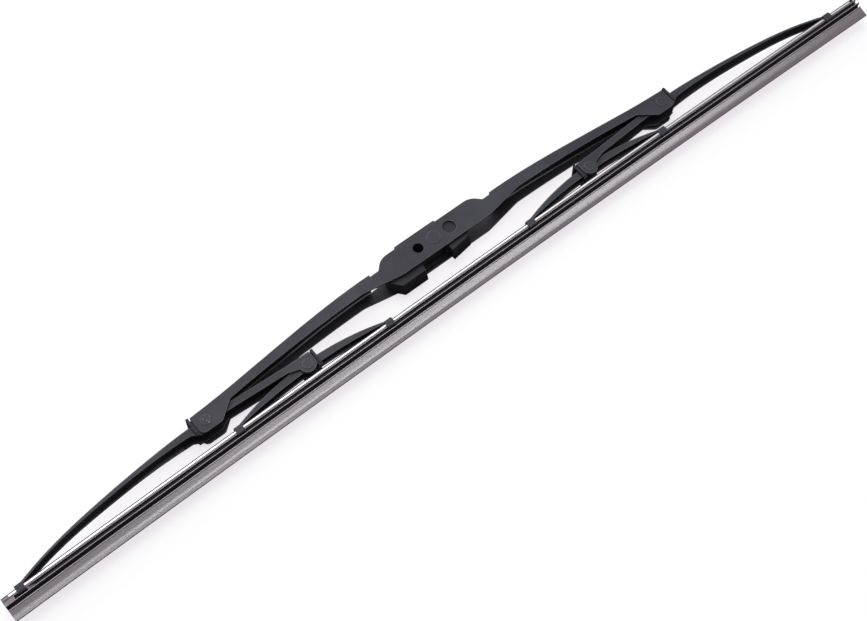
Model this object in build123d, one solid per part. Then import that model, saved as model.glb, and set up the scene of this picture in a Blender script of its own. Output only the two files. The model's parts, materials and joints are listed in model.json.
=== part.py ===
"""A framed wiper blade for an 18 inch screen, lying on its side.

Six claws on four levers hold the rubber. X runs along the blade, Y from the rubber towards the
crown of the frame and Z across it. The origin is the middle of the arm pin. Sizes are in millimetres.
"""
import os
from math import degrees

from build123d import *

# Wiper rubber: its length, where it lies, and its levels counted down from the head
rubber_length = 457.2
rubber_shift = 4.6
arch_radius = 15750.0
head_top = -17.7
head_flange = 0.45
strip_slot = 0.75
under_flange = 0.8
claw_groove = 1.35
skirt = 0.8
neck = 0.95
shoulder = 2.9
wiping_edge = 1.9

# Half widths of the rubber at those levels
head_half = 3.0
slot_half = 0.9
groove_half = 1.4
skirt_half = 3.7
neck_half = 0.5
shoulder_half = 1.8
crease_half = 0.75
edge_half = 0.4

# Moulded stops at the rubber's closed end
strip_stop = 3.0
claw_stop = 4.6
lock_bump = 1.6
lock_taper = 1.6
lock_play = 0.15

# Steel strips in the rubber's side slots
strip_half = 3.12
strip_play = 0.03
strip_setback = 2.9

# Places of the claws and pivots along the blade
claw_inset = 12.85
outer_claw_x = rubber_length / 2 - claw_inset
mid_claw_x = 113.9
inner_claw_x = 38.2
bridge_pivot_x = 122.4
bridge_pivot_y = -8.4
yoke_pivot_x = 76.0
yoke_pivot_y = -13.2

# Claws
claw_length = 3.6
claw_gap = 0.15
claw_side_gap = 0.18
hook_gap = 0.35
claw_round = 1.2
claw_bite = 0.1

# Sheet and folds of the pressings, and the fits at their pivots
main_sheet = 0.9
bridge_sheet = 0.85
yoke_sheet = 0.8
fold_ratio = 0.6
plan_bend = 300.0
liner_wall = 0.5
liner_play = 0.05
lever_play = 0.1
pin_play = 0.05

# Widths of the pressings, from the yoke outwards
yoke_half = 2.9
bridge_half = yoke_half + lever_play + liner_wall + liner_play + bridge_sheet
main_end_half = bridge_half + lever_play + liner_wall + liner_play + main_sheet
main_half = 7.0
tip_half = 2.9

# Yokes
yoke_crown = -11.1
yoke_hem = -14.8
yoke_boss = 3.4

# Bridges
bridge_boss = 3.7
bridge_inner_crown = -8.65
bridge_pivot_crown = -6.2
bridge_plate = 3.6
bridge_plate_lip = 1.0
bridge_boss_run = 8.9
bridge_hem = -9.8
bridge_inner_hem = -11.5
bridge_round = 2.0
bridge_taper_x = 135.0
# Share of the way from the pivot to the outer claw, crown and hem of a bridge's arm there
bridge_arm = [(0.275, -7.1, -9.5), (0.53, -9.35, -11.05), (0.79, -13.0, -14.2)]

# Main bridge: crown, arms, ears and end plates
slot_half_length = 32.4
ear_half_length = 28.0
ear_top = 5.8
ear_lean = 4.0
ear_round = 7.5
arm_crown = 2.65
mid_crown = 0.2
plate_crown = -2.6
end_crown = -3.77
saddle = arm_crown - main_sheet
saddle_round = 1.0
hem_centre = -6.15
left_hem = 21.0
right_hem = 26.0
hem_run = 18.5
hem_round = 12.0
arm_hem = -2.8
mid_hem = -3.9
end_x = 127.0
end_plate_bottom = -12.9
plate_x = 109.3
plate_hem = -6.7
plate_run = 8.0
plate_round = 2.5

# Arm pin, side-pin holes and rivets
arm_pin_r = 2.5
arm_pin_head_r = 3.1
arm_pin_head = 0.25
side_hole_x = 8.33
small_hole_r = 2.38
large_hole_r = 3.0
rivet_r = 1.5
rivet_head_r = 2.25
rivet_head = 0.4

# Liner cheeks and collars
cheek_inset = 1.6
collar_gap = 0.6
collar = 1.2
collar_rise = 0.55
collar_lift = 1.5
collar_step = 0.15
collar_round = 2.0
yoke_collar_rise = 0.1
yoke_collar_drop = 3.2
overcut = 1.0

# Arm adaptor
adaptor_gap = 0.15
adaptor_hole_play = 0.2
adaptor_half = main_half - main_sheet - adaptor_gap
foot_half = 4.85
foot_rake = 1.3
adaptor_roof = 7.1
adaptor_left = -26.2
adaptor_right = 14.4
adaptor_deck = 5.2
deck_fall = 2.0
roof_left = -15.6
roof_right = 6.6
roof_slope = 1.4
adaptor_floor = -5.4
left_foot_end = -10.3
left_foot_drop = 3.9
right_foot_start = 3.9
right_foot_drop = 3.4
right_foot_tail = 2.0
foot_slant = 3.2
foot_bevel = 0.5
adaptor_wall = 1.4
hook_wall = 0.7

reach = 60.0

depth_slot = head_flange
depth_under = depth_slot + strip_slot
depth_groove = depth_under + under_flange
depth_skirt = depth_groove + claw_groove
depth_neck = depth_skirt + skirt
depth_shoulder = depth_neck + neck
depth_crease = depth_shoulder + shoulder
rubber_height = depth_crease + wiping_edge
rubber_left = rubber_shift - rubber_length / 2
rubber_right = rubber_shift + rubber_length / 2
arch_axis = Axis((0, head_top - arch_radius, 0), (0, 0, 1))


def on_arch(x):
    """The height of the rubber's head at x."""
    return head_top - arch_radius + (arch_radius**2 - x**2) ** 0.5


def to_arch(shape, x):
    """Carry a shape from the middle of the blade along the arch to x."""
    return shape.rotate(arch_axis, degrees(-x / arch_radius))


def along_arch(section, left, right):
    """Draw a section, standing across the blade at its middle, along the arch from left to right."""
    start = section.rotate(arch_axis, degrees(-left / arch_radius))
    return revolve(start, arch_axis, degrees((left - right) / arch_radius))


def across(points):
    """A closed outline across the blade from (Y, Z) points."""
    return Plane.YZ * make_face(Polyline(*points, close=True))


def mirrored(points):
    """Half an outline across the blade, and its mirror image about the middle plane."""
    return across(points + [(y, -z) for y, z in reversed(points)])


def prism(face, half):
    """A side outline given its width, half to each side of the middle plane."""
    return extrude(face, half, both=True)


def outline(*edges):
    """A side outline from edges that meet end to end."""
    return make_face(Curve() + list(edges))


def rounded(face, corners):
    """A side outline with the corners nearest the given points rounded off."""
    for x, y, radius in corners:
        face = fillet(face.vertices().sort_by_distance((x, y, 0))[0], radius)
    return face


def folded(solid, size):
    """A pressing's outer shape with the long edges of its crown broken, as the press folds them."""
    crown = solid.faces().filter_by(lambda face: face.normal_at().Y > 0.8).sort_by(SortBy.AREA)[-1]
    return chamfer(crown.edges().filter_by(lambda edge: abs((edge % 0.5).Z) < 0.5), size)


def box(x0, x1, y0, y1, half):
    """A block between two lengths and two heights, across the middle plane."""
    middle = Pos((x0 + x1) / 2, (y0 + y1) / 2, 0)
    return middle * Box(x1 - x0, y1 - y0, 2 * half)


def plan(points):
    """A solid with a plan given by (X, half width) points, symmetric about the middle plane."""
    rim = points + [(x, -half) for x, half in reversed(points)]
    face = make_face(Polyline(*rim, close=True))
    bends = [(x, side * half, plan_bend) for x, half in points[1:-1] for side in (1, -1)]
    return extrude(Plane.XZ * rounded(face, bends), reach, both=True)


def round_hole(x, y, radius):
    """A round hole right across the blade."""
    return Pos(x, y, 0) * Cylinder(radius, 2 * reach)


def rivet(x, y, radius, half, head_radius, head):
    """A rivet across the blade with a low flat head on each side."""
    top = Pos(0, 0, half + head / 2) * Cylinder(head_radius, head)
    return Pos(x, y, 0) * (Cylinder(radius, 2 * half) + top + mirror(top, Plane.XY))


def lever_rivet(x, y, half):
    """The rivet at a lever's pivot, for a lever of the given half width."""
    return rivet(x, y, rivet_r, half, rivet_head_r, rivet_head)


def rubber_section():
    """The rubber's section: head, strip slots, claw groove, skirt, neck and lip."""
    levels = [
        (0, head_half),
        (depth_slot, head_half),
        (depth_slot, slot_half),
        (depth_under, slot_half),
        (depth_under, head_half),
        (depth_groove, head_half),
        (depth_groove, groove_half),
        (depth_skirt, groove_half),
        (depth_skirt, skirt_half),
        (depth_neck, skirt_half),
        (depth_neck, neck_half),
        (depth_shoulder, neck_half),
        (depth_shoulder, shoulder_half),
        (depth_crease, crease_half),
        (rubber_height, edge_half),
    ]
    return mirrored([(head_top - depth, half) for depth, half in levels])


def lock_x():
    """The inner face of the pocket that holds the outer claw of the closed end."""
    return -outer_claw_x + claw_length / 2 + lock_play


def wiper_rubber():
    """The rubber with its moulded stops at the left end."""
    body = along_arch(rubber_section(), rubber_left, rubber_right)
    head = on_arch(rubber_left)
    strip_end = box(rubber_left, rubber_left + strip_stop, head - depth_under - under_flange / 2,
                    head - head_flange / 2, head_half)
    claw_end = box(rubber_left, rubber_left + claw_stop, head - depth_skirt - skirt / 2,
                   head - depth_groove + under_flange / 2, head_half)
    bump = lock_x()
    wedge = Plane.XZ * make_face(
        Polyline(
            (bump, head_half),
            (bump + lock_bump, head_half),
            (bump + lock_bump + lock_taper, groove_half),
            (bump + lock_bump + lock_taper, -groove_half),
            (bump + lock_bump, -head_half),
            (bump, -head_half),
            close=True,
        )
    )
    lock_top = on_arch(bump) - depth_groove + under_flange / 2
    lock = Pos(0, lock_top, 0) * extrude(wedge, claw_groove + under_flange / 2 + skirt / 2)
    return body + strip_end + claw_end + lock


def steel_strip(side):
    """One spring strip, lying in the rubber's slot on one side."""
    top = head_top - depth_slot - strip_play
    bottom = head_top - depth_under + strip_play
    inner = side * (slot_half + strip_play)
    outer = side * strip_half
    section = across([(top, inner), (top, outer), (bottom, outer), (bottom, inner)])
    left = rubber_left + strip_stop
    return along_arch(section, left + strip_play, rubber_right - strip_setback)


def claw(x, sheet):
    """A claw folded round the rubber's head, with its hooks in the claw groove."""
    inner_top = head_top + claw_gap
    inner_half = strip_half + claw_side_gap
    hook_top = head_top - depth_groove - claw_gap
    hook_bottom = hook_top - sheet
    outer = across(
        [
            (inner_top + sheet, inner_half + sheet),
            (hook_bottom, inner_half + sheet),
            (hook_bottom, -inner_half - sheet),
            (inner_top + sheet, -inner_half - sheet),
        ]
    )
    outer = fillet(outer.vertices(), claw_round)
    room = across(
        [
            (inner_top, inner_half),
            (hook_top, inner_half),
            (hook_top, groove_half + hook_gap),
            (hook_bottom - sheet, groove_half + hook_gap),
            (hook_bottom - sheet, -groove_half - hook_gap),
            (hook_top, -groove_half - hook_gap),
            (hook_top, -inner_half),
            (inner_top, -inner_half),
        ]
    )
    return to_arch(extrude(outer - room, claw_length / 2, both=True), x)


def arm_tip(x, sheet):
    """The crown and the hem of a lever's arm where it runs into the sheet of the claw at x."""
    crown = on_arch(x) + claw_gap + sheet - claw_bite
    return crown, crown - sheet + 2 * claw_bite


def yoke():
    """The right yoke: an arched channel with a claw at each end and a boss at its pivot."""
    inner_top, inner_hem = arm_tip(inner_claw_x, yoke_sheet)
    outer_top, outer_hem = arm_tip(mid_claw_x, yoke_sheet)
    inner_foot = (inner_claw_x + claw_length / 2, inner_hem)
    outer_foot = (mid_claw_x - claw_length / 2, outer_hem)

    def crown(drop):
        return ThreePointArc(
            (inner_claw_x, inner_top - drop),
            (yoke_pivot_x, yoke_crown - drop),
            (mid_claw_x, outer_top - drop),
        )

    side = outline(
        crown(0),
        Line((mid_claw_x, outer_top), (mid_claw_x, outer_foot[1])),
        Line((mid_claw_x, outer_foot[1]), outer_foot),
        ThreePointArc(outer_foot, (yoke_pivot_x, yoke_hem), inner_foot),
        Line(inner_foot, (inner_claw_x, inner_foot[1])),
        Line((inner_claw_x, inner_foot[1]), (inner_claw_x, inner_top)),
    )
    boss = Pos(yoke_pivot_x, yoke_pivot_y) * Circle(yoke_boss)
    side += boss & Pos(yoke_pivot_x, yoke_pivot_y - yoke_boss) * Rectangle(2 * yoke_boss, 2 * yoke_boss)
    hollow = outline(
        crown(yoke_sheet),
        Line((mid_claw_x, outer_top - yoke_sheet), (mid_claw_x, -reach)),
        Line((mid_claw_x, -reach), (inner_claw_x, -reach)),
        Line((inner_claw_x, -reach), (inner_claw_x, inner_top - yoke_sheet)),
    )
    channel = folded(prism(side, yoke_half), fold_ratio * yoke_sheet)
    channel -= prism(hollow, yoke_half - yoke_sheet)
    claws = claw(inner_claw_x, yoke_sheet) + claw(mid_claw_x, yoke_sheet)
    return channel + claws - round_hole(yoke_pivot_x, yoke_pivot_y, rivet_r + pin_play)


def arm_x(share):
    """The place on a bridge's arm at a share of the way from its pivot to its claw."""
    return bridge_pivot_x + share * (outer_claw_x - bridge_pivot_x)


def bridge_crown(drop):
    """The crown line of the right bridge, lowered by the given drop."""
    tip = arm_tip(outer_claw_x, bridge_sheet)[0]
    inner_x = yoke_pivot_x - bridge_boss
    return Spline(
        (inner_x, bridge_inner_crown - drop),
        ((inner_x + bridge_pivot_x) / 2, (bridge_inner_crown + bridge_pivot_crown) / 2 - drop),
        (bridge_pivot_x, bridge_pivot_crown - drop),
        *[(arm_x(share), crown - drop) for share, crown, hem in bridge_arm],
        (outer_claw_x, tip - drop),
    )


def bridge_cavity(inset):
    """The room inside the right bridge, standing the given inset inside its outer faces."""
    top = bridge_crown(inset)
    inner_x = yoke_pivot_x - bridge_boss
    end = outer_claw_x
    side = outline(
        top,
        Line(top @ 1, (end, -reach)),
        Line((end, -reach), (inner_x, -reach)),
        Line((inner_x, -reach), top @ 0),
    )
    width = bridge_half - inset
    shape = plan([(inner_x, width), (bridge_taper_x, width), (end, tip_half - inset)])
    return prism(side, reach) & shape


def bridge():
    """The right bridge: a tapered channel from the yoke pivot over its own pivot to the outer claw."""
    top = bridge_crown(0)
    inner_x = yoke_pivot_x - bridge_boss
    tip = top @ 1
    foot = (outer_claw_x - claw_length / 2, arm_tip(outer_claw_x, bridge_sheet)[1])
    plate_bottom = bridge_pivot_y - bridge_plate
    plate_out = bridge_pivot_x + bridge_plate + bridge_plate_lip
    plate_in = bridge_pivot_x - bridge_plate - bridge_plate_lip
    hem_out = (plate_out + bridge_plate, bridge_hem)
    hem_in = (plate_in - bridge_plate, bridge_hem)
    boss_top = (yoke_pivot_x + bridge_boss_run, bridge_inner_hem)
    side = outline(
        top,
        Line(tip, (outer_claw_x, foot[1])),
        Line((outer_claw_x, foot[1]), foot),
        Spline(foot, *[(arm_x(share), hem) for share, crown, hem in reversed(bridge_arm)], hem_out),
        Line(hem_out, (plate_out, plate_bottom)),
        Line((plate_out, plate_bottom), (plate_in, plate_bottom)),
        Line((plate_in, plate_bottom), hem_in),
        Line(hem_in, boss_top),
        Line(boss_top, (yoke_pivot_x + bridge_boss, yoke_pivot_y)),
        Line((yoke_pivot_x + bridge_boss, yoke_pivot_y), (inner_x, yoke_pivot_y)),
        Line((inner_x, yoke_pivot_y), top @ 0),
    )
    side = rounded(
        side,
        [
            (*hem_out, bridge_round),
            (plate_out, plate_bottom, bridge_round),
            (plate_in, plate_bottom, bridge_round),
            (*hem_in, bridge_round),
            (*boss_top, bridge_round),
        ],
    )
    side = side + Pos(yoke_pivot_x, yoke_pivot_y) * Circle(bridge_boss)
    shape = plan([(inner_x, bridge_half), (bridge_taper_x, bridge_half), (outer_claw_x, tip_half)])
    channel = folded(prism(side, reach) & shape, fold_ratio * bridge_sheet)
    channel -= bridge_cavity(bridge_sheet)
    holes = round_hole(yoke_pivot_x, yoke_pivot_y, rivet_r + pin_play)
    holes += round_hole(bridge_pivot_x, bridge_pivot_y, rivet_r + pin_play)
    return channel + claw(outer_claw_x, bridge_sheet) - holes


def main_crown(drop):
    """The crown line of the right arm of the main bridge, lowered by the given drop."""
    return Spline(
        (slot_half_length, arm_crown - drop),
        ((slot_half_length + end_x) / 2, mid_crown - drop),
        (plate_x, plate_crown - drop),
        (end_x, end_crown - drop),
    )


def main_plan(inset):
    """The plan of the right half of the main bridge, standing the given inset inside its sides."""
    return plan(
        [
            (0, main_half - inset),
            (ear_half_length, main_half - inset),
            (plate_x, main_end_half - inset),
            (end_x + collar_gap + collar, main_end_half - inset),
        ]
    )


def main_cavity(inset):
    """The room inside the right arm of the main bridge, the given inset inside its outer faces."""
    top = main_crown(inset)
    side = outline(
        top,
        Line(top @ 1, (end_x, -reach)),
        Line((end_x, -reach), (slot_half_length, -reach)),
        Line((slot_half_length, -reach), top @ 0),
    )
    return prism(side, reach) & main_plan(inset)


def main_arm(hem):
    """Half of the main bridge, with its ears, as a right arm; their deep hem runs out to the given x."""
    top = main_crown(0)
    arm_start_x = hem + hem_run
    side = outline(
        Line((0, ear_top), (ear_half_length - ear_lean, ear_top)),
        Line((ear_half_length - ear_lean, ear_top), (ear_half_length, saddle)),
        Line((ear_half_length, saddle), (slot_half_length, saddle)),
        Line((slot_half_length, saddle), top @ 0),
        top,
        Line(top @ 1, (end_x, end_plate_bottom)),
        Line((end_x, end_plate_bottom), (plate_x + plate_run, end_plate_bottom)),
        Line((plate_x + plate_run, end_plate_bottom), (plate_x, plate_hem)),
        ThreePointArc(
            (plate_x, plate_hem),
            ((plate_x + arm_start_x) / 2, mid_hem),
            (arm_start_x, arm_hem),
        ),
        Line((arm_start_x, arm_hem), (hem, hem_centre)),
        Line((hem, hem_centre), (0, hem_centre)),
        Line((0, hem_centre), (0, ear_top)),
    )
    side = rounded(
        side,
        [
            (ear_half_length - ear_lean, ear_top, ear_round),
            (ear_half_length, saddle, saddle_round),
            (end_x, end_plate_bottom, plate_round),
            (plate_x + plate_run, end_plate_bottom, plate_round),
            (plate_x, plate_hem, plate_round),
            (arm_start_x, arm_hem, hem_round),
            (hem, hem_centre, hem_round),
        ],
    )
    outer = prism(side, reach) & main_plan(0)
    centre = box(0, slot_half_length, -reach, reach, reach)
    ears = (outer & centre) - main_plan(main_sheet)
    arm = folded(outer - centre, fold_ratio * main_sheet) - main_cavity(main_sheet)
    return ears + arm - round_hole(bridge_pivot_x, bridge_pivot_y, rivet_r + pin_play)


def main_bridge():
    """The main bridge: two arms that run out from a pair of ears, open at the crown between them."""
    whole = main_arm(right_hem) + mirror(main_arm(left_hem), Plane.YZ)
    whole -= round_hole(0, 0, arm_pin_r + pin_play)
    whole -= round_hole(-side_hole_x, 0, small_hole_r)
    whole -= round_hole(side_hole_x, 0, large_hole_r)
    return whole


def collar_ring(x, low, high, half):
    """The blank of a liner's collar, standing across the blade from x, with its lower corners rounded."""
    blank = box(x, x + collar, low, high, half)
    return fillet(blank.edges().filter_by(Axis.X).group_by(Axis.Y)[0], collar_round)


def bridge_liner():
    """The plastic liner between the right end of the main bridge and the right bridge."""
    outer = main_sheet + liner_play
    inner = outer + liner_wall
    bottom = end_plate_bottom + cheek_inset
    cheek = make_face(
        Polyline(
            (plate_x + plate_run + cheek_inset, bottom),
            (end_x, bottom),
            (end_x, reach),
            (plate_x + cheek_inset, reach),
            (plate_x + cheek_inset, plate_hem + cheek_inset),
            close=True,
        )
    )
    walls = (main_cavity(outer) - main_cavity(inner)) & prism(cheek, reach)
    ring_x = end_x + collar_gap
    low = end_plate_bottom + collar_lift
    sleeve = box(end_x, ring_x + collar, low, end_crown - outer, reach)
    sleeve &= main_plan(outer) - main_plan(inner)
    ring = collar_ring(ring_x, low, end_crown + collar_rise, main_end_half - collar_step)
    opening = box(ring_x - overcut, ring_x + collar + overcut, -reach, end_crown - inner, reach)
    ring -= opening & main_plan(inner)
    return walls + sleeve + ring - round_hole(bridge_pivot_x, bridge_pivot_y, rivet_r + pin_play)


def yoke_liner():
    """The plastic liner between the inner end of the right bridge and the right yoke."""
    outer = bridge_sheet + liner_play
    inner = outer + liner_wall
    inner_x = yoke_pivot_x - bridge_boss
    bottom = yoke_pivot_y - bridge_boss + cheek_inset
    cheek = box(inner_x, yoke_pivot_x + bridge_boss, bottom, reach, reach)
    walls = (bridge_cavity(outer) - bridge_cavity(inner)) & cheek
    ring_x = inner_x - collar_gap
    low = yoke_pivot_y - yoke_collar_drop
    top = bridge_inner_crown - outer
    room = box(ring_x - collar - overcut, inner_x, low - overcut, top - liner_wall, bridge_half - inner)
    sleeve = box(ring_x - collar, inner_x, low, top, bridge_half - outer) - room
    ring_top = bridge_inner_crown + yoke_collar_rise
    ring = collar_ring(ring_x - collar, low, ring_top, bridge_half - collar_step) - room
    return walls + sleeve + ring - round_hole(yoke_pivot_x, yoke_pivot_y, rivet_r + pin_play)


def foot(points):
    """A foot of the adaptor: a side outline raked along the blade from one side to the other."""
    face = Pos(foot_rake / 2, 0, -foot_half) * make_face(Polyline(*points, close=True))
    return extrude(face, 2 * foot_half, dir=(-foot_rake, 0, 2 * foot_half))


def arm_adaptor():
    """The plastic clip on the arm pin that the wiper arm's hook goes over."""
    body = make_face(
        Polyline(
            (adaptor_left, adaptor_floor),
            (adaptor_left, 0),
            (roof_left, adaptor_deck),
            (roof_left, adaptor_roof),
            (roof_right - roof_slope, adaptor_roof),
            (roof_right, adaptor_deck),
            (adaptor_right, adaptor_deck - deck_fall),
            (adaptor_right, adaptor_floor),
            close=True,
        )
    )
    left_foot = foot(
        [
            (adaptor_left, adaptor_floor),
            (adaptor_left + foot_slant, adaptor_floor - left_foot_drop),
            (left_foot_end - foot_bevel, adaptor_floor - left_foot_drop),
            (left_foot_end, adaptor_floor),
            (left_foot_end, 0),
            (adaptor_left, 0),
        ]
    )
    right_foot = foot(
        [
            (right_foot_start, adaptor_floor - right_foot_drop),
            (adaptor_right - foot_bevel, adaptor_floor - right_foot_tail),
            (adaptor_right, adaptor_floor),
            (adaptor_right, 0),
            (right_foot_start, 0),
        ]
    )
    hook_left = left_foot_end + foot_rake
    hook_right = right_foot_start - foot_rake
    hook_room = box(hook_left, hook_right, -reach, -arm_pin_r - adaptor_wall, foot_half - hook_wall)
    clip = prism(body, adaptor_half) + left_foot + right_foot - hook_room
    clip -= round_hole(0, 0, arm_pin_r + pin_play)
    return clip - round_hole(-side_hole_x, 0, small_hole_r + adaptor_hole_play)


os.makedirs("parts", exist_ok=True)
right_pieces = {
    "bridge": bridge(),
    "yoke": yoke(),
    "bridge_liner": bridge_liner(),
    "yoke_liner": yoke_liner(),
    "bridge_rivet": lever_rivet(bridge_pivot_x, bridge_pivot_y, main_end_half),
    "yoke_rivet": lever_rivet(yoke_pivot_x, yoke_pivot_y, bridge_half),
}
pieces = {
    "main_bridge": main_bridge(),
    "arm_pin": rivet(0, 0, arm_pin_r, main_half, arm_pin_head_r, arm_pin_head),
    "arm_adaptor": arm_adaptor(),
    "wiper_rubber": wiper_rubber(),
    "near_strip": steel_strip(1),
    "far_strip": steel_strip(-1),
}
for name, piece in right_pieces.items():
    pieces["right_" + name] = piece
    pieces["left_" + name] = mirror(piece, Plane.YZ)
for name, piece in pieces.items():
    export_step(piece, f"parts/{name}.step")
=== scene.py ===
"""Looks of a framed wiper blade: paint, plastic, rubber, spring steel and a plain studio."""
import json
import math

import bmesh
import bpy
from mathutils import Matrix, Vector


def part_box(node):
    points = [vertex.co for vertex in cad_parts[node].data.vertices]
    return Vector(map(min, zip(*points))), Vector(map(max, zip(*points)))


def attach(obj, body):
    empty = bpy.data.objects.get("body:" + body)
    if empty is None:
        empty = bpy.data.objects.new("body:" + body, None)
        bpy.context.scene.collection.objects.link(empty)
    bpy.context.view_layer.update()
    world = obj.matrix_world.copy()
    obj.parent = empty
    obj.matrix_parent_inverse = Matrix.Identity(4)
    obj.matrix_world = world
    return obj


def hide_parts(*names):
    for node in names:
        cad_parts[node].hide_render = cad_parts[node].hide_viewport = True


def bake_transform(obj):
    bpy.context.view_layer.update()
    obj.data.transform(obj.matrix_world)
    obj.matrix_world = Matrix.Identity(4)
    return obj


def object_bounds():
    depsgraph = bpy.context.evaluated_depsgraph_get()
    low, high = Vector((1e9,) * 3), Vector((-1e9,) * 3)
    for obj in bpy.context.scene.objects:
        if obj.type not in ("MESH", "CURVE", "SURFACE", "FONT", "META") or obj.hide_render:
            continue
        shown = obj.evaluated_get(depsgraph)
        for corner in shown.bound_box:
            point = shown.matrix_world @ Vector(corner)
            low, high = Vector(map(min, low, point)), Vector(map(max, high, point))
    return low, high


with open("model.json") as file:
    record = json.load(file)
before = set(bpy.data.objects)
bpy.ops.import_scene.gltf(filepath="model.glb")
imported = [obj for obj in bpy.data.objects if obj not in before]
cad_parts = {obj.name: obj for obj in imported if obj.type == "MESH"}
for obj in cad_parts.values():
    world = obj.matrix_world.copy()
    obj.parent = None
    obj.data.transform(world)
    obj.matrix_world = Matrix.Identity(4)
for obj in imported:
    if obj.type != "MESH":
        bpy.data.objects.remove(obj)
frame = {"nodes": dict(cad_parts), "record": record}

CAD_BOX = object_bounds()

bl_info = {
    "name": "Framed Wiper Blade",
    "version": (1, 0, 0),
    "blender": (4, 2, 0),
    "location": "View3D > Sidebar > Wiper Blade",
    "description": "Finishes a framed wiper blade and sets it in a plain studio",
    "category": "Object",
}

MM = 0.001
ORIGIN = Vector((0.0, 0.0, 0.0))

# The CAD nodes that share a finish
MAIN_NODES = ("main_bridge",)
LEVER_NODES = ("left_bridge", "right_bridge", "left_yoke", "right_yoke")
RIVET_NODES = ("arm_pin", "right_bridge_rivet", "left_yoke_rivet", "right_yoke_rivet")
# The rivet head that has painted glints
GLINT_NODES = ("left_bridge_rivet",)
PLASTIC_NODES = (
    "arm_adaptor", "left_bridge_liner", "right_bridge_liner", "left_yoke_liner", "right_yoke_liner",
)
STRIP_SIDES = {"near_strip": 1, "far_strip": -1}

# Depth below the head and half width of the rubber's section, in millimetres
RUBBER_LEVELS = (
    (0.0, 3.0), (0.45, 3.0), (0.45, 0.9), (1.2, 0.9), (1.2, 3.0), (1.52, 3.0), (1.6, 2.86), (1.68, 3.0),
    (2.0, 3.0), (2.0, 1.4), (3.35, 1.4), (3.78, 3.7), (4.1, 3.7), (4.15, 0.5), (5.1, 0.5), (5.1, 1.95),
    (5.5, 1.95), (5.58, 1.63), (7.5, 0.93), (8.4, 0.655), (9.9, 0.4),
)
# Where the coated lip starts, and the top, bottom, least half width and coat of each other coated band,
# in millimetres. The coats are numbers of the rubber's materials; the pale ridge bands are painted highlights
LIP_COAT, RIDGE_HIGHLIGHT = 1, 2
LIP_LEVEL = 5.05
BANDS = (
    (1.19, 2.01, 2.8, LIP_COAT), (3.7, 4.12, 3.69, RIDGE_HIGHLIGHT), (5.05, 5.52, 1.94, RIDGE_HIGHLIGHT),
)
# The depths below the head and the half widths between which a strip lies, in millimetres
STRIP_LEVELS = (0.48, 1.17)
STRIP_HALVES = (0.93, 3.12)
# The length, and the top and bottom below the head, of each stop at the rubber's closed end and of the
# lock beside the outer claw, and their half width, in millimetres
END_STOPS = ((3.0, 0.2, 1.5), (4.6, 1.7, 3.7))
LOCK = (3.2, 1.7, 3.7)
STOP_HALF = 3.0
# How far the lock stands from the middle of the claw, in millimetres, and the share of its width at its tip
LOCK_PLACE = 1.95
LOCK_TIP = 0.47

# The step of a run along the arch, and the distance within which two corners of a mesh are one, in metres
ARCH_STEP = 0.006
SAME_PLACE = 2e-6
# Turns in degrees: below which faces are one flat, below which a drawn run or a pressing is shaded smooth,
# and over which an edge is sharp or a fold
FLAT_TURN = 0.5
RUN_SMOOTH, PRESSED_SMOOTH = 12.0, 14.0
SHARP_TURN, FOLD_TURN = 30.0, 60.0
# How far a fold runs along the blade, and how far the tilts of its two faces differ, at least
FOLD_ALONG = 0.8
FOLD_TILTS = 0.7
EDGE_SEGMENTS, FOLD_SEGMENTS = 2, 4
# Numbers of a pressing's materials on its rounded edges and in its folds
# The paler paint on the rounded edges is a painted highlight
RIM_PAINT, POOLED_PAINT = 1, 2

# Where the patches of a surface start and stop to turn from dark to light
PATCH_ENDS = (0.3, 0.7)
PATCH_DETAIL = 4.0
GRAIN_DETAIL = 3.0
GRAIN_DEPTH = 0.0002
# The scale of the painted glints on a rivet head, and the levels of noise between which the pale specks come
# in
GLINT_SCALE = 800.0
GLINT_DETAIL = 2.0
GLINT_ENDS = (0.60, 0.66)

# Name, place, turn about the vertical or None to face the blade, sizes and watts of each lamp, and
# whether it lights the surfaces and whether it shows in their gloss
LAMPS = (
    ("long_softbox", (0.223, -0.217, 0.90), -16.0, (1.09, 0.13), 6.0, (False, True)),
    ("overhead", (-0.10, 0.40, 0.85), None, (0.45, 1.20), 3.5, (True, True)),
    ("top_fill", (0.03, 0.03, 0.95), None, (0.60, 0.30), 4.4, (True, False)),
    ("back_fill", (0.0, 0.85, 0.42), None, (0.40, 1.0), 4.0, (True, True)),
)
# Half the floor's width, and its distance below the blade, in metres
FLOOR_HALF = 4.0
FLOOR_GAP = 0.0002
# The camera's sensor in millimetres, and its nearest and furthest sight in metres
SENSOR_WIDTH = 36.0
SIGHT = (0.01, 50.0)


def length(name, description, default):
    """A length that a user can change, in metres."""
    return bpy.props.FloatProperty(
        name=name, description=description, default=default, unit="LENGTH", precision=5
    )


def share(name, description, default):
    """A share from 0 to 1 that a user can change."""
    return bpy.props.FloatProperty(
        name=name, description=description, default=default, min=0.0, max=1.0, subtype="FACTOR"
    )


def colour(name, description, default):
    """A colour that a user can change."""
    return bpy.props.FloatVectorProperty(
        name=name, description=description, default=default, size=3, min=0.0, max=1.0, subtype="COLOR"
    )


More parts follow.
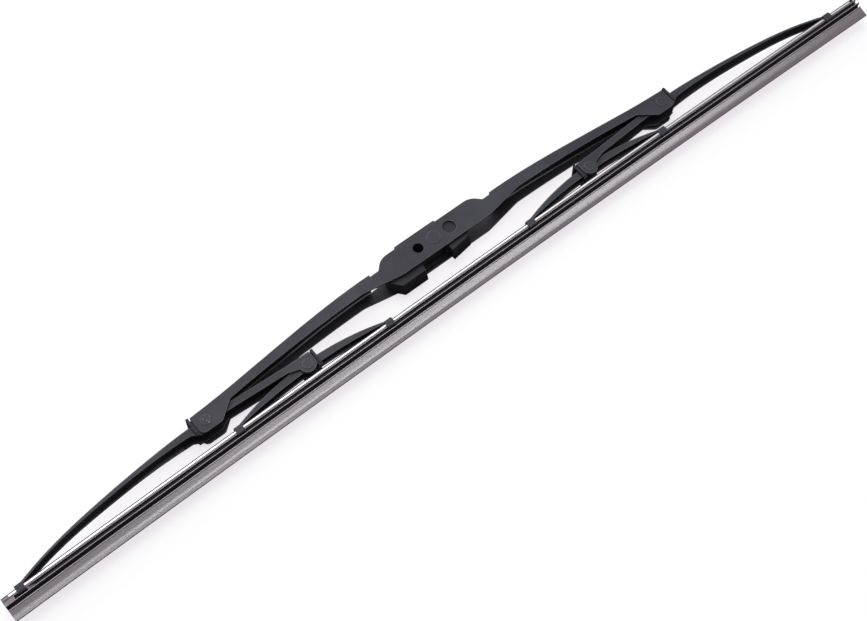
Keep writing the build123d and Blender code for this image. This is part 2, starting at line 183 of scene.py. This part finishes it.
class WiperFinishes(bpy.types.PropertyGroup):
    """Colours and gloss of the blade's finishes, and the rounding of its edges."""

    paint: colour("Paint", "Colour of the painted pressings", (0.030, 0.030, 0.039))
    # Paler paint on the rounded edges: a painted highlight
    edge_highlight: colour("Rubbed paint", "Colour of the paint where its edges are rubbed", (0.10, 0.10, 0.115))
    paint_roughness: share("Paint roughness", "Roughness of the satin paint", 0.42)
    paint_gloss: share("Paint gloss", "Share of the light that the paint's surface throws back", 0.18)
    # Pale specks on a rivet head: painted glints
    glint: colour("Chips", "Colour of the chips in a rivet head's paint", (0.30, 0.30, 0.31))
    pooled_roughness: share("Pooled roughness", "Roughness of the paint that pools in the inner folds", 0.25)
    pooled_gloss: share("Pooled gloss", "Share of the light that the pooled paint throws back", 1.0)
    plastic: colour("Plastic", "Colour of the liners and the adaptor", (0.020, 0.020, 0.025))
    plastic_roughness: share("Plastic roughness", "Roughness of the plastic", 0.50)
    plastic_gloss: share("Plastic gloss", "Share of the light that the plastic's surface throws back", 0.15)
    rubber: colour("Rubber", "Colour of the rubber's head, skirt and neck", (0.034, 0.027, 0.032))
    lip: colour("Lip", "Colour of the rubber's coated lip", (0.094, 0.071, 0.092))
    # Pale colour of the narrow ridges: a painted highlight
    ridge: colour("Ridges", "Colour of the rubber's narrow ridges", (0.38, 0.345, 0.38))
    rubber_roughness: share("Rubber roughness", "Roughness of the rubber", 0.42)
    rubber_gloss: share("Rubber gloss", "Share of the light that the rubber's surface throws back", 0.15)
    lip_roughness: share("Lip roughness", "Roughness of the lip's coat", 0.26)
    lip_gloss: share("Lip gloss", "Share of the light that the lip's coat throws back", 0.75)
    steel: colour("Steel", "Colour of the spring strips", (0.55, 0.54, 0.55))
    steel_roughness: share("Steel roughness", "Roughness of the spring strips", 0.36)
    soft_edge: length("Soft edge", "Rounding of the pressings' and mouldings' edges", 0.13 * MM)
    inner_fold: length("Inner fold", "Rounding of the inner folds of the main bridge", 0.8 * MM)
    fold_end: length("Fold end", "Where the rounded folds stop, clear of the liners", 107.5 * MM)
    rivet_edge: length("Rivet edge", "Rounding of the rivet heads' rims", 0.18 * MM)


class WiperRubberSizes(bpy.types.PropertyGroup):
    """Sizes of the rubber and its strips."""

    left: length("Left end", "Where the rubber starts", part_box("wiper_rubber")[0].x)
    right: length("Right end", "Where the rubber stops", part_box("wiper_rubber")[1].x)
    arch_radius: length("Arch radius", "Radius of the blade's own set", 15.750)
    head_top: length("Head", "Crown side of the rubber's head at the arm pin", -17.7 * MM)
    outer_claw: length("Outer claw", "Distance of the outer claws from the arm pin", 215.75 * MM)
    mid_claw: length("Middle claw", "Distance of the middle claws from the arm pin", 113.9 * MM)
    inner_claw: length("Inner claw", "Distance of the inner claws from the arm pin", 38.2 * MM)
    corner: length("Corner", "Rounding of the rubber's corners", 0.09 * MM)
    tongue_step: length("Tongue step", "How much slimmer the ends inside the next stretch are", 0.05 * MM)
    tongue_reach: length("Tongue reach", "How far they reach into the next stretch", 0.8 * MM)
    strip_left: length("Strip start", "Where the steel strips start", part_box("near_strip")[0].x)
    strip_right: length("Strip end", "Where the steel strips stop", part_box("near_strip")[1].x)


class WiperStudio(bpy.types.PropertyGroup):
    """The camera, the floor and the surroundings."""

    lens: bpy.props.FloatProperty(
        name="Lens", description="Focal length on a 36 mm wide sensor", default=64.17, unit="CAMERA"
    )
    camera: bpy.props.FloatVectorProperty(
        name="Camera", description="Place of the camera", default=(-0.2100, -0.2602, 0.5636), size=3,
        subtype="TRANSLATION", unit="LENGTH",
    )
    view: bpy.props.FloatVectorProperty(
        name="View", description="Azimuth and elevation of the camera's axis",
        default=(math.radians(-38.898), math.radians(61.721)), size=2,
        unit="ROTATION",
    )
    floor_glow: colour("Floor glow", "Colour that the floor keeps in a shadow", (0.78, 0.735, 0.79))
    floor_bounce: colour(
        "Floor bounce", "Colour of the light that the floor throws back", (0.06, 0.06, 0.06)
    )
    # Within this distance the floor is dark in the blade's reflections: painted shade
    reflection_reach: length(
        "Reflection reach", "Distance over which the floor comes up to white in the blade's reflections", 0.30
    )
    sky: share("Sky", "Light that the surroundings throw on the blade", 0.30)


def arch_axis():
    """A point on the axis that the rubber's arch turns about."""
    sizes = bpy.context.scene.wiper_rubber
    return Vector((0.0, sizes.head_top - sizes.arch_radius, 0.0))


def head_at(x):
    """The height of the rubber's head at x."""
    sizes = bpy.context.scene.wiper_rubber
    return arch_axis().y + math.sqrt(sizes.arch_radius**2 - x**2)


def round_off(mesh, geometry, offset, segments, affect="EDGES", clamp=False):
    """Round edges or corners of a mesh, and return the new faces."""
    made = bmesh.ops.bevel(
        mesh, geom=geometry, offset=offset, offset_type="OFFSET", affect=affect, segments=segments,
        profile=0.5, material=-1, clamp_overlap=clamp,
    )
    return made["faces"]


def arch_run(mesh, points, left, right, corner=0.0):
    """Draw a section of (Y, Z) points along the arch from left to right, with closed ends."""
    radius = bpy.context.scene.wiper_rubber.arch_radius
    corners = [mesh.verts.new((0.0, y, z)) for y, z in points]
    face = mesh.faces.new(corners)
    if corner:
        round_off(mesh, corners, corner, EDGE_SEGMENTS, affect="VERTICES", clamp=True)
        bmesh.ops.remove_doubles(mesh, verts=mesh.verts, dist=SAME_PLACE)
        face = next(f for f in mesh.faces if len(f.verts) > 2 and all(e.is_boundary for e in f.edges))
    rim = list(face.edges)
    ring = list(face.verts)
    bmesh.ops.delete(mesh, geom=[face], context="FACES_ONLY")
    turn = Matrix.Rotation(-left / radius, 3, "Z")
    bmesh.ops.rotate(mesh, verts=ring, cent=arch_axis(), matrix=turn)
    steps = max(2, round((right - left) / ARCH_STEP))
    bmesh.ops.spin(
        mesh, geom=rim + ring, cent=arch_axis(), axis=(0.0, 0.0, 1.0),
        angle=-(right - left) / radius, steps=steps, use_merge=False, use_duplicate=False,
    )
    ends = [e for e in mesh.edges if e.is_boundary]
    bmesh.ops.holes_fill(mesh, edges=ends, sides=0)


def rubber_points():
    """The rubber's section."""
    top = bpy.context.scene.wiper_rubber.head_top
    near = [(top - depth * MM, half * MM) for depth, half in RUBBER_LEVELS]
    return near + [(y, -z) for y, z in reversed(near)]


def head_stop(mesh, start, stop):
    """A moulded stop in the rubber's head that begins at start, as a plain block."""
    reach, top, bottom = (size * MM for size in stop)
    head = head_at(start)
    low = Vector((start, head - bottom, -STOP_HALF * MM))
    high = Vector((start + reach, head - top, STOP_HALF * MM))
    made = bmesh.ops.create_cube(mesh, size=1.0)["verts"]
    bmesh.ops.scale(mesh, verts=made, vec=high - low)
    bmesh.ops.translate(mesh, verts=made, vec=(low + high) / 2)
    return made


def closed_end(mesh):
    """The stops at the rubber's closed end and the lock beside its claw, in the lip's grey."""
    sizes = bpy.context.scene.wiper_rubber
    made = []
    for stop in END_STOPS:
        made += head_stop(mesh, sizes.left, stop)
    start = -sizes.outer_claw + LOCK_PLACE * MM
    lock = head_stop(mesh, start, LOCK)
    tip = [vert for vert in lock if vert.co.x > start + LOCK[0] * MM / 2]
    bmesh.ops.scale(mesh, verts=tip, vec=(1.0, 1.0, LOCK_TIP))
    for vert in made + lock:
        for face in vert.link_faces:
            face.material_index = LIP_COAT


def tongue(mesh, side, step, reach):
    """A slimmer end that reaches into the next stretch, so that no crack opens where the two turn."""
    cap = max(mesh.faces, key=lambda face: side * face.calc_center_median().x)
    bmesh.ops.inset_region(mesh, faces=[cap], thickness=step, use_even_offset=True)
    tip = bmesh.ops.extrude_discrete_faces(mesh, faces=[cap])["faces"][0]
    bmesh.ops.translate(mesh, verts=tip.verts, vec=(side * reach, 0.0, 0.0))


def coat_faces(mesh):
    """Give the lip and the narrow bands of a stretch of rubber their coats; the pale ridge bands are painted
    highlights.
    """
    for face in mesh.faces:
        middle = face.calc_center_median()
        depth, half = head_at(middle.x) - middle.y, abs(middle.z)
        face.material_index = LIP_COAT if depth > LIP_LEVEL * MM else 0
        for top, bottom, least, coat in BANDS:
            if top * MM < depth < bottom * MM and half > least * MM:
                face.material_index = coat


def new_piece(name, mesh, material, smooth=RUN_SMOOTH):
    """An object from a finished bmesh, shaded smooth across edges that turn less than smooth degrees."""
    bmesh.ops.recalc_face_normals(mesh, faces=mesh.faces)
    data = bpy.data.meshes.new(name)
    mesh.to_mesh(data)
    mesh.free()
    data.shade_smooth()
    data.set_sharp_from_angle(angle=math.radians(smooth))
    data.materials.append(material)
    piece = bpy.data.objects.new(name, data)
    bpy.context.scene.collection.objects.link(piece)
    return piece


def stretches(left, right):
    """The stretches of the rubber between claws, and the bodies that each one moves with."""
    sizes = bpy.context.scene.wiper_rubber
    outer, mid, inner = sizes.outer_claw, sizes.mid_claw, sizes.inner_claw
    return (
        ("left_end", left, -mid, ("left_lever", "left_rocker"), (-outer, -mid)),
        ("left_middle", -mid, -inner, ("left_rocker",), None),
        ("centre", -inner, inner, ("squeegee",), None),
        ("right_middle", inner, mid, ("right_rocker",), None),
        ("right_end", mid, right, ("right_lever", "right_rocker"), (outer, mid)),
    )


def fasten(piece, bodies, span):
    """Let a stretch move with its body; a stretch that spans two bodies is only fixed in place."""
    if span is None:
        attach(piece, bodies[0])
        return
    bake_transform(piece)


def new_material(name):
    """A material with its node tree, its surface shader and its object coordinates."""
    material = bpy.data.materials.new(name)
    material.use_nodes = True
    nodes, links = material.node_tree.nodes, material.node_tree.links
    coordinates = nodes.new("ShaderNodeTexCoord")
    return material, nodes, links, nodes["Principled BSDF"], coordinates.outputs["Object"]


def uneven(nodes, links, place, shader, tone, spread, patches):
    """Let a surface's colour wander about its tone, in patches of so many to a metre along each axis."""
    mapping = nodes.new("ShaderNodeMapping")
    mapping.inputs["Scale"].default_value = patches
    links.new(place, mapping.inputs["Vector"])
    noise = nodes.new("ShaderNodeTexNoise")
    noise.inputs["Scale"].default_value = 1.0
    noise.inputs["Detail"].default_value = PATCH_DETAIL
    links.new(mapping.outputs["Vector"], noise.inputs["Vector"])
    ramp = nodes.new("ShaderNodeValToRGB")
    dark, light = ramp.color_ramp.elements
    dark.position, light.position = PATCH_ENDS
    dark.color = (*[part * (1.0 - spread) for part in tone], 1.0)
    light.color = (*[part * (1.0 + spread) for part in tone], 1.0)
    links.new(noise.outputs["Fac"], ramp.inputs["Fac"])
    links.new(ramp.outputs["Color"], shader.inputs["Base Color"])


def grain(nodes, links, place, shader, scale, strength):
    """A fine grain in the surface."""
    noise = nodes.new("ShaderNodeTexNoise")
    noise.inputs["Scale"].default_value = scale
    noise.inputs["Detail"].default_value = GRAIN_DETAIL
    links.new(place, noise.inputs["Vector"])
    bump = nodes.new("ShaderNodeBump")
    bump.inputs["Strength"].default_value = strength
    bump.inputs["Distance"].default_value = GRAIN_DEPTH
    links.new(noise.outputs["Fac"], bump.inputs["Height"])
    links.new(bump.outputs["Normal"], shader.inputs["Normal"])


def grained(name, tone, roughness, gloss, spread, patches, scale, strength):
    """A material with an uneven tone, a gloss and a fine grain."""
    material, nodes, links, shader, place = new_material(name)
    uneven(nodes, links, place, shader, tone, spread, patches)
    shader.inputs["Roughness"].default_value = roughness
    shader.inputs["Specular IOR Level"].default_value = gloss
    grain(nodes, links, place, shader, scale, strength)
    return material


def satin_paint(name, tone, roughness, gloss):
    """Satin paint on pressed steel."""
    return grained(
        name, tone, roughness, gloss, spread=0.25, patches=(60.0, 60.0, 60.0), scale=2200.0, strength=0.12
    )


def glint_paint():
    """Satin paint with small pale specks on a struck rivet head: painted glints."""
    finish = bpy.context.scene.wiper_finishes
    material = satin_paint("glint_black_paint", finish.paint, finish.paint_roughness, finish.paint_gloss)
    nodes, links = material.node_tree.nodes, material.node_tree.links
    noise = nodes.new("ShaderNodeTexNoise")
    noise.inputs["Scale"].default_value = GLINT_SCALE
    noise.inputs["Detail"].default_value = GLINT_DETAIL
    links.new(nodes["Texture Coordinate"].outputs["Object"], noise.inputs["Vector"])
    glint_mask = nodes.new("ShaderNodeMapRange")
    glint_mask.inputs["From Min"].default_value, glint_mask.inputs["From Max"].default_value = GLINT_ENDS
    links.new(noise.outputs["Fac"], glint_mask.inputs["Value"])
    mix = nodes.new("ShaderNodeMixRGB")
    mix.inputs["Color2"].default_value = (*finish.glint, 1.0)
    links.new(glint_mask.outputs["Result"], mix.inputs["Fac"])
    links.new(nodes["Color Ramp"].outputs["Color"], mix.inputs["Color1"])
    links.new(mix.outputs["Color"], nodes["Principled BSDF"].inputs["Base Color"])
    return material


def black_plastic():
    """Matt black plastic."""
    finish = bpy.context.scene.wiper_finishes
    return grained(
        "matt_black_plastic", finish.plastic, finish.plastic_roughness, finish.plastic_gloss,
        spread=0.2, patches=(90.0, 90.0, 90.0), scale=1500.0, strength=0.1,
    )


def black_rubber():
    """Black rubber on the head, the skirt and the neck."""
    finish = bpy.context.scene.wiper_finishes
    return grained(
        "black_rubber", finish.rubber, finish.rubber_roughness, finish.rubber_gloss,
        spread=0.35, patches=(40.0, 900.0, 900.0), scale=900.0, strength=0.06,
    )


def coated_rubber(name, tone):
    """A grey coat on the rubber."""
    finish = bpy.context.scene.wiper_finishes
    return grained(
        name, tone, finish.lip_roughness, finish.lip_gloss,
        spread=0.18, patches=(12.0, 350.0, 350.0), scale=900.0, strength=0.03,
    )


def spring_steel():
    """Bright rolled steel."""
    finish = bpy.context.scene.wiper_finishes
    material, nodes, links, shader, place = new_material("spring_steel")
    uneven(nodes, links, place, shader, finish.steel, spread=0.12, patches=(25.0, 1500.0, 1500.0))
    shader.inputs["Metallic"].default_value = 1.0
    shader.inputs["Roughness"].default_value = finish.steel_roughness
    return material


def body_of(node):
    """The body that a CAD node moves with."""
    bodies = frame["record"]["behaviour"]["bodies"]
    return next(body for body, nodes in bodies.items() if node in nodes)


def turns(edge, degrees):
    """Whether the two faces at an edge meet at a turn of more than so many degrees."""
    return len(edge.link_faces) == 2 and edge.calc_face_angle() > math.radians(degrees)


def inner_folds(mesh):
    """The long inner corners of the main bridge's arms, where a cheek folds out of the crown."""
    end = bpy.context.scene.wiper_finishes.fold_end
    folds = []
    for edge in mesh.edges:
        if turns(edge, FOLD_TURN) and not edge.is_convex:
            first, second = (vert.co.x for vert in edge.verts)
            along = abs(first - second) / edge.calc_length()
            tilts = [abs(face.normal.z) for face in edge.link_faces]
            clear = max(abs(first), abs(second)) < end
            if clear and along > FOLD_ALONG and max(tilts) - min(tilts) > FOLD_TILTS:
                folds.append(edge)
    return folds


def soften(nodes, material, width, edge_highlight=None, pooled=None):
    """Draw CAD nodes again with their sharp edges rounded to width, in a paler paint, a painted highlight, if
    that paint is given.

    With a pooled paint, the inner folds are rounded too, and have that paint.
    """
    fold = bpy.context.scene.wiper_finishes.inner_fold
    for name in nodes:
        mesh = bmesh.new()
        mesh.from_mesh(frame["nodes"][name].data)
        bmesh.ops.remove_doubles(mesh, verts=mesh.verts, dist=SAME_PLACE)
        bmesh.ops.dissolve_limit(
            mesh, angle_limit=math.radians(FLAT_TURN), verts=mesh.verts, edges=mesh.edges,
            use_dissolve_boundaries=False,
        )
        if pooled:
            for face in round_off(mesh, inner_folds(mesh), fold, FOLD_SEGMENTS):
                face.material_index = POOLED_PAINT
        sharp = [edge for edge in mesh.edges if turns(edge, SHARP_TURN) and edge.is_convex]
        for face in round_off(mesh, sharp, width, EDGE_SEGMENTS):
            face.material_index = RIM_PAINT if edge_highlight else 0
        piece = new_piece(name + "_finish", mesh, material, PRESSED_SMOOTH)
        for paint in (edge_highlight, pooled):
            if paint:
                piece.data.materials.append(paint)
        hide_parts(name)
        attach(piece, body_of(name))


def combined(nodes, links, first, second, operation="MAXIMUM"):
    """The larger of two values, or what another operation makes of them."""
    node = nodes.new("ShaderNodeMath")
    node.operation = operation
    links.new(first, node.inputs[0])
    links.new(second, node.inputs[1])
    return node.outputs["Value"]


def seen_rays(nodes, links, reach=0.0):
    """1 for the camera's rays, 0 for scattered light, and up to 1 over reach for reflections."""
    ray = nodes.new("ShaderNodeLightPath")
    mirrored = combined(nodes, links, ray.outputs["Is Glossy Ray"], ray.outputs["Is Transmission Ray"])
    # Within reach, reflections see the dark floor: painted shade of the floor close by
    if reach:
        far = nodes.new("ShaderNodeMapRange")
        far.inputs["From Max"].default_value = reach
        links.new(ray.outputs["Ray Length"], far.inputs["Value"])
        mirrored = combined(nodes, links, mirrored, far.outputs["Result"], "MULTIPLY")
    return combined(nodes, links, ray.outputs["Is Camera Ray"], mirrored)


def pale_floor():
    """A floor, white with a soft shadow to the eye, dark in reflections close to the blade as painted shade,
    that throws little light back.
    """
    studio = bpy.context.scene.wiper_studio
    material = bpy.data.materials.new("pale_floor")
    material.use_nodes = True
    nodes, links = material.node_tree.nodes, material.node_tree.links
    nodes.remove(nodes["Principled BSDF"])
    bounce = nodes.new("ShaderNodeBsdfDiffuse")
    bounce.inputs["Color"].default_value = (*studio.floor_bounce, 1.0)
    shade = nodes.new("ShaderNodeBsdfDiffuse")
    shade.inputs["Color"].default_value = (*[1.0 - part for part in studio.floor_glow], 1.0)
    glow = nodes.new("ShaderNodeEmission")
    glow.inputs["Color"].default_value = (*studio.floor_glow, 1.0)
    seen = nodes.new("ShaderNodeAddShader")
    links.new(shade.outputs["BSDF"], seen.inputs[0])
    links.new(glow.outputs["Emission"], seen.inputs[1])
    choice = nodes.new("ShaderNodeMixShader")
    links.new(seen_rays(nodes, links, studio.reflection_reach), choice.inputs[0])
    links.new(bounce.outputs["BSDF"], choice.inputs[1])
    links.new(seen.outputs["Shader"], choice.inputs[2])
    links.new(choice.outputs["Shader"], nodes["Material Output"].inputs["Surface"])
    return material


def white_surroundings():
    """White all round for the camera and for reflections, and a gentler light on the blade."""
    sky = bpy.context.scene.wiper_studio.sky
    world = bpy.data.worlds.new("studio")
    world.use_nodes = True
    nodes, links = world.node_tree.nodes, world.node_tree.links
    level = nodes.new("ShaderNodeMapRange")
    level.inputs["To Min"].default_value = sky
    level.inputs["To Max"].default_value = 1.0
    links.new(seen_rays(nodes, links), level.inputs["Value"])
    background = nodes["Background"]
    background.inputs["Color"].default_value = (1.0, 1.0, 1.0, 1.0)
    links.new(level.outputs["Result"], background.inputs["Strength"])
    return world


def lay_floor(scene):
    """A wide floor just under the blade."""
    mesh = bmesh.new()
    bmesh.ops.create_grid(mesh, x_segments=1, y_segments=1, size=FLOOR_HALF)
    bmesh.ops.translate(mesh, verts=mesh.verts, vec=(0.0, 0.0, CAD_BOX[0][2] - FLOOR_GAP))
    data = bpy.data.meshes.new("floor")
    mesh.to_mesh(data)
    mesh.free()
    floor = bpy.data.objects.new("floor", data)
    scene.collection.objects.link(floor)
    data.materials.append(pale_floor())


def hang_lamps(scene):
    """The lamps, each level with its own turn or facing the arm pin."""
    for name, place, turn, sizes, watts, shows in LAMPS:
        lamp = bpy.data.lights.new(name, "AREA")
        lamp.shape = "RECTANGLE"
        lamp.size, lamp.size_y = sizes
        lamp.energy = watts
        stand = bpy.data.objects.new(name, lamp)
        stand.location = place
        aim = (ORIGIN - Vector(place)).to_track_quat("-Z", "X")
        stand.rotation_euler = aim.to_euler() if turn is None else (0.0, 0.0, math.radians(turn))
        stand.visible_diffuse, stand.visible_glossy = shows
        scene.collection.objects.link(stand)


def set_camera(scene):
    """A camera that looks back along its view's azimuth and elevation."""
    studio = scene.wiper_studio
    azimuth, elevation = studio.view
    level = math.cos(elevation)
    back = Vector((math.sin(azimuth) * level, -math.cos(azimuth) * level, math.sin(elevation)))
    across = Vector((math.cos(azimuth), math.sin(azimuth), 0.0))
    above = back.cross(across)
    lens = bpy.data.cameras.new("camera")
    lens.lens = studio.lens
    lens.sensor_width = SENSOR_WIDTH
    lens.sensor_fit = "HORIZONTAL"
    lens.clip_start, lens.clip_end = SIGHT
    camera = bpy.data.objects.new("camera", lens)
    turn = Matrix((across, above, back)).transposed().to_4x4()
    camera.matrix_world = Matrix.Translation(Vector(studio.camera)) @ turn
    scene.collection.objects.link(camera)
    scene.camera = camera


class WIPER_OT_paint_levers(bpy.types.Operator):
    """Paint the main bridge, the bridges, the yokes and their rivets"""

    bl_idname = "wiper.paint_levers"
    bl_label = "Paint levers"

    def execute(self, context):
        finish = context.scene.wiper_finishes
        paint = satin_paint("satin_black_paint", finish.paint, finish.paint_roughness, finish.paint_gloss)
        # The paler paint on the rounded edges is a painted highlight
        edge_highlight = satin_paint("edge_highlight_black_paint", finish.edge_highlight, finish.paint_roughness, finish.paint_gloss)
        pooled = satin_paint("pooled_black_paint", finish.paint, finish.pooled_roughness, finish.pooled_gloss)
        soften(MAIN_NODES, paint, finish.soft_edge, edge_highlight, pooled)
        soften(LEVER_NODES, paint, finish.soft_edge, edge_highlight)
        soften(RIVET_NODES, paint, finish.rivet_edge, edge_highlight)
        # The left bridge rivet gets painted glints
        soften(GLINT_NODES, glint_paint(), finish.rivet_edge, edge_highlight)
        return {"FINISHED"}


class WIPER_OT_finish_plastics(bpy.types.Operator):
    """Finish the liners and the arm adaptor"""

    bl_idname = "wiper.finish_plastics"
    bl_label = "Finish plastics"

    def execute(self, context):
        soften(PLASTIC_NODES, black_plastic(), context.scene.wiper_finishes.soft_edge)
        return {"FINISHED"}


class WIPER_OT_draw_rubber(bpy.types.Operator):
    """Draw the rubber in stretches from claw to claw"""

    bl_idname = "wiper.draw_rubber"
    bl_label = "Draw rubber"

    def execute(self, context):
        sizes = context.scene.wiper_rubber
        finish = context.scene.wiper_finishes
        # The pale ridge colour is a painted highlight
        coats = coated_rubber("coated_lip", finish.lip), coated_rubber("pale_ridge_highlight", finish.ridge)
        rubber = black_rubber()
        for name, left, right, bodies, span in stretches(sizes.left, sizes.right):
            mesh = bmesh.new()
            arch_run(mesh, rubber_points(), left, right, sizes.corner)
            if name == "centre":
                for side in (-1, 1):
                    tongue(mesh, side, sizes.tongue_step, sizes.tongue_reach)
            coat_faces(mesh)
            if name == "left_end":
                closed_end(mesh)
            piece = new_piece("rubber_" + name, mesh, rubber)
            for coat in coats:
                piece.data.materials.append(coat)
            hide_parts("wiper_rubber")
            fasten(piece, bodies, span)
        return {"FINISHED"}


class WIPER_OT_draw_strips(bpy.types.Operator):
    """Draw the spring strips in stretches from claw to claw"""

    bl_idname = "wiper.draw_strips"
    bl_label = "Draw strips"

    def execute(self, context):
        sizes = context.scene.wiper_rubber
        material = spring_steel()
        top, bottom = (sizes.head_top - level * MM for level in STRIP_LEVELS)
        for node, side in STRIP_SIDES.items():
            inner, outer = (side * half * MM for half in STRIP_HALVES)
            points = [(top, inner), (top, outer), (bottom, outer), (bottom, inner)]
            for name, left, right, bodies, span in stretches(sizes.strip_left, sizes.strip_right):
                mesh = bmesh.new()
                arch_run(mesh, points, left, right)
                piece = new_piece(f"{node}_{name}", mesh, material)
                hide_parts(node)
                fasten(piece, bodies, span)
        return {"FINISHED"}


class WIPER_OT_set_studio(bpy.types.Operator):
    """Set the floor, the world, the lamps and the camera"""

    bl_idname = "wiper.set_studio"
    bl_label = "Set studio"

    def execute(self, context):
        scene = context.scene
        scene.view_settings.view_transform = "Standard"
        lay_floor(scene)
        scene.world = white_surroundings()
        hang_lamps(scene)
        set_camera(scene)
        return {"FINISHED"}


class WIPER_PT_panel(bpy.types.Panel):
    """Lists the steps that finish the blade"""

    bl_idname = "WIPER_PT_panel"
    bl_label = "Wiper Blade"
    bl_space_type = "VIEW_3D"
    bl_region_type = "UI"
    bl_category = "Wiper Blade"

    def draw(self, context):
        for step in STEPS:
            self.layout.operator(step.bl_idname)


STEPS = (
    WIPER_OT_paint_levers,
    WIPER_OT_finish_plastics,
    WIPER_OT_draw_rubber,
    WIPER_OT_draw_strips,
    WIPER_OT_set_studio,
)
GROUPS = (WiperFinishes, WiperRubberSizes, WiperStudio)
CLASSES = GROUPS + STEPS + (WIPER_PT_panel,)


def register():
    """Add the classes and the settings."""
    for made in CLASSES:
        bpy.utils.register_class(made)
    bpy.types.Scene.wiper_finishes = bpy.props.PointerProperty(type=WiperFinishes)
    bpy.types.Scene.wiper_rubber = bpy.props.PointerProperty(type=WiperRubberSizes)
    bpy.types.Scene.wiper_studio = bpy.props.PointerProperty(type=WiperStudio)


def unregister():
    """Take the settings and the classes away."""
    del bpy.types.Scene.wiper_studio
    del bpy.types.Scene.wiper_rubber
    del bpy.types.Scene.wiper_finishes
    for made in reversed(CLASSES):
        bpy.utils.unregister_class(made)


def main():
    """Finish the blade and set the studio."""
    register()
    bpy.ops.wiper.paint_levers()
    bpy.ops.wiper.finish_plastics()
    bpy.ops.wiper.draw_rubber()
    bpy.ops.wiper.draw_strips()
    bpy.ops.wiper.set_studio()


if __name__ == "__main__":
    main()
